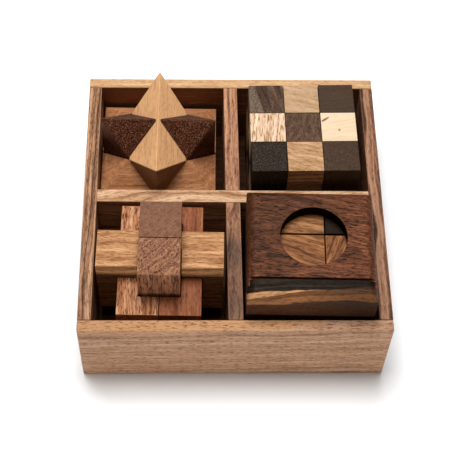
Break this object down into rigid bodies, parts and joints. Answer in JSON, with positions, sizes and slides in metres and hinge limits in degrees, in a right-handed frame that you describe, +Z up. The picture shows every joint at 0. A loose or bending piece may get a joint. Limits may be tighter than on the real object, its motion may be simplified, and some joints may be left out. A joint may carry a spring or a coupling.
{
  "type": "wooden burr puzzle set",
  "caption": "Low square wooden tray with crossed dividers, holding a stick burr, a star burr, a snake cube strung on elastic, and a packing box with a round window in its sliding lid.",
  "frame": {"origin": "middle of the tray's underside, on the surface that it stands on", "axes": "+Z up, +X to the right along the front wall, +Y towards the back wall"},
  "size_m": [0.15, 0.1506, 0.0653],
  "materials": {
    "honey_wood": "sanded, thin satin oil",
    "tan_wood": "sanded, thin satin oil",
    "olive_wood": "sanded, unfinished underneath",
    "brown_wood": "sanded, thin satin oil",
    "plum_wood": "sanded, thin satin oil",
    "grey_wood": "sanded, thin satin oil",
    "dark_wood": "sanded, thin satin oil",
    "cream_wood": "sanded, thin satin oil",
    "elastic_cord": "round covered elastic, matt"
  },
  "bodies": {
    "tray": {"tray_front_wall": "tan_wood", "tray_back_wall": "honey_wood", "tray_left_wall": "brown_wood", "tray_right_wall": "brown_wood", "tray_floor": "olive_wood", "tray_long_divider": "honey_wood", "tray_cross_divider": "brown_wood"},
    "burr": {"burr_rear_upright": "plum_wood", "burr_lower_crossbar": "tan_wood", "burr_upper_crossbar": "honey_wood", "burr_left_stick": "honey_wood", "burr_right_stick": "tan_wood"},
    "burr_key": {"burr_key_stick": "plum_wood"},
    "star": {"star_front_bar": "brown_wood", "star_bottom_bar": "honey_wood", "star_left_bar": "grey_wood"},
    "star_half": {"star_back_bar": "brown_wood", "star_top_bar": "honey_wood", "star_right_bar": "grey_wood"},
    "snake": {"snake_cube_01": "dark_wood", "snake_cube_02": "cream_wood", "snake_cube_03": "dark_wood", "snake_cube_04": "cream_wood", "snake_cube_05": "dark_wood", "snake_cube_06": "cream_wood", "snake_cube_07": "dark_wood", "snake_cube_08": "cream_wood", "snake_cube_09": "dark_wood", "snake_cube_10": "cream_wood", "snake_cube_11": "dark_wood", "snake_cube_12": "cream_wood", "snake_cube_13": "dark_wood", "snake_cube_14": "cream_wood", "snake_cube_15": "dark_wood", "snake_cube_16": "cream_wood", "snake_cube_17": "dark_wood", "snake_cube_18": "cream_wood", "snake_cube_19": "dark_wood", "snake_cube_20": "cream_wood", "snake_cube_21": "dark_wood", "snake_cube_22": "cream_wood", "snake_cube_23": "dark_wood", "snake_cube_24": "cream_wood", "snake_elastic": "elastic_cord", "snake_elastic_link": "elastic_cord"},
    "snake_row": {"snake_cube_25": "dark_wood", "snake_cube_26": "cream_wood", "snake_cube_27": "dark_wood", "snake_elastic_end": "elastic_cord"},
    "packing_box": {"packing_box_carcass": "brown_wood", "packing_box_front": "dark_wood", "block_large_cube": "tan_wood", "block_top_slab": "honey_wood", "block_back_slab": "tan_wood", "block_back_stick": "honey_wood", "block_right_slab": "brown_wood", "block_right_stick": "honey_wood", "block_corner_stick": "tan_wood", "block_small_cube": "grey_wood"},
    "packing_lid": {"packing_box_lid": "plum_wood"}
  },
  "joints": [
    {"name": "burr_lift", "type": "slide", "parent": "tray", "child": "burr", "axis": [0, 0, 1], "range_m": [0, 0.06]},
    {"name": "burr_key_slide", "type": "slide", "parent": "burr", "child": "burr_key", "axis": [0, 0, 1], "range_m": [0, 0.062]},
    {"name": "star_lift", "type": "slide", "parent": "tray", "child": "star", "axis": [0, 0, 1], "range_m": [0, 0.06]},
    {"name": "star_split", "type": "slide", "parent": "star", "child": "star_half", "axis": [0.5863, 0.5682, 0.5774], "range_m": [0, 0.0036]},
    {"name": "snake_lift", "type": "slide", "parent": "tray", "child": "snake", "axis": [0, 0, 1], "range_m": [0, 0.06]},
    {"name": "snake_row_pull", "type": "slide", "parent": "snake", "child": "snake_row", "axis": [0, 0, 1], "range_m": [0, 0.01], "stiffness_N_per_m": 300, "deforming": ["snake_elastic_link"]},
    {"name": "box_lift", "type": "slide", "parent": "tray", "child": "packing_box", "axis": [0, 0, 1], "range_m": [0, 0.06]},
    {"name": "lid_slide", "type": "slide", "parent": "packing_box", "child": "packing_lid", "axis": [0.9998, -0.0209, 0], "range_m": [0, 0.062]}
  ]
}
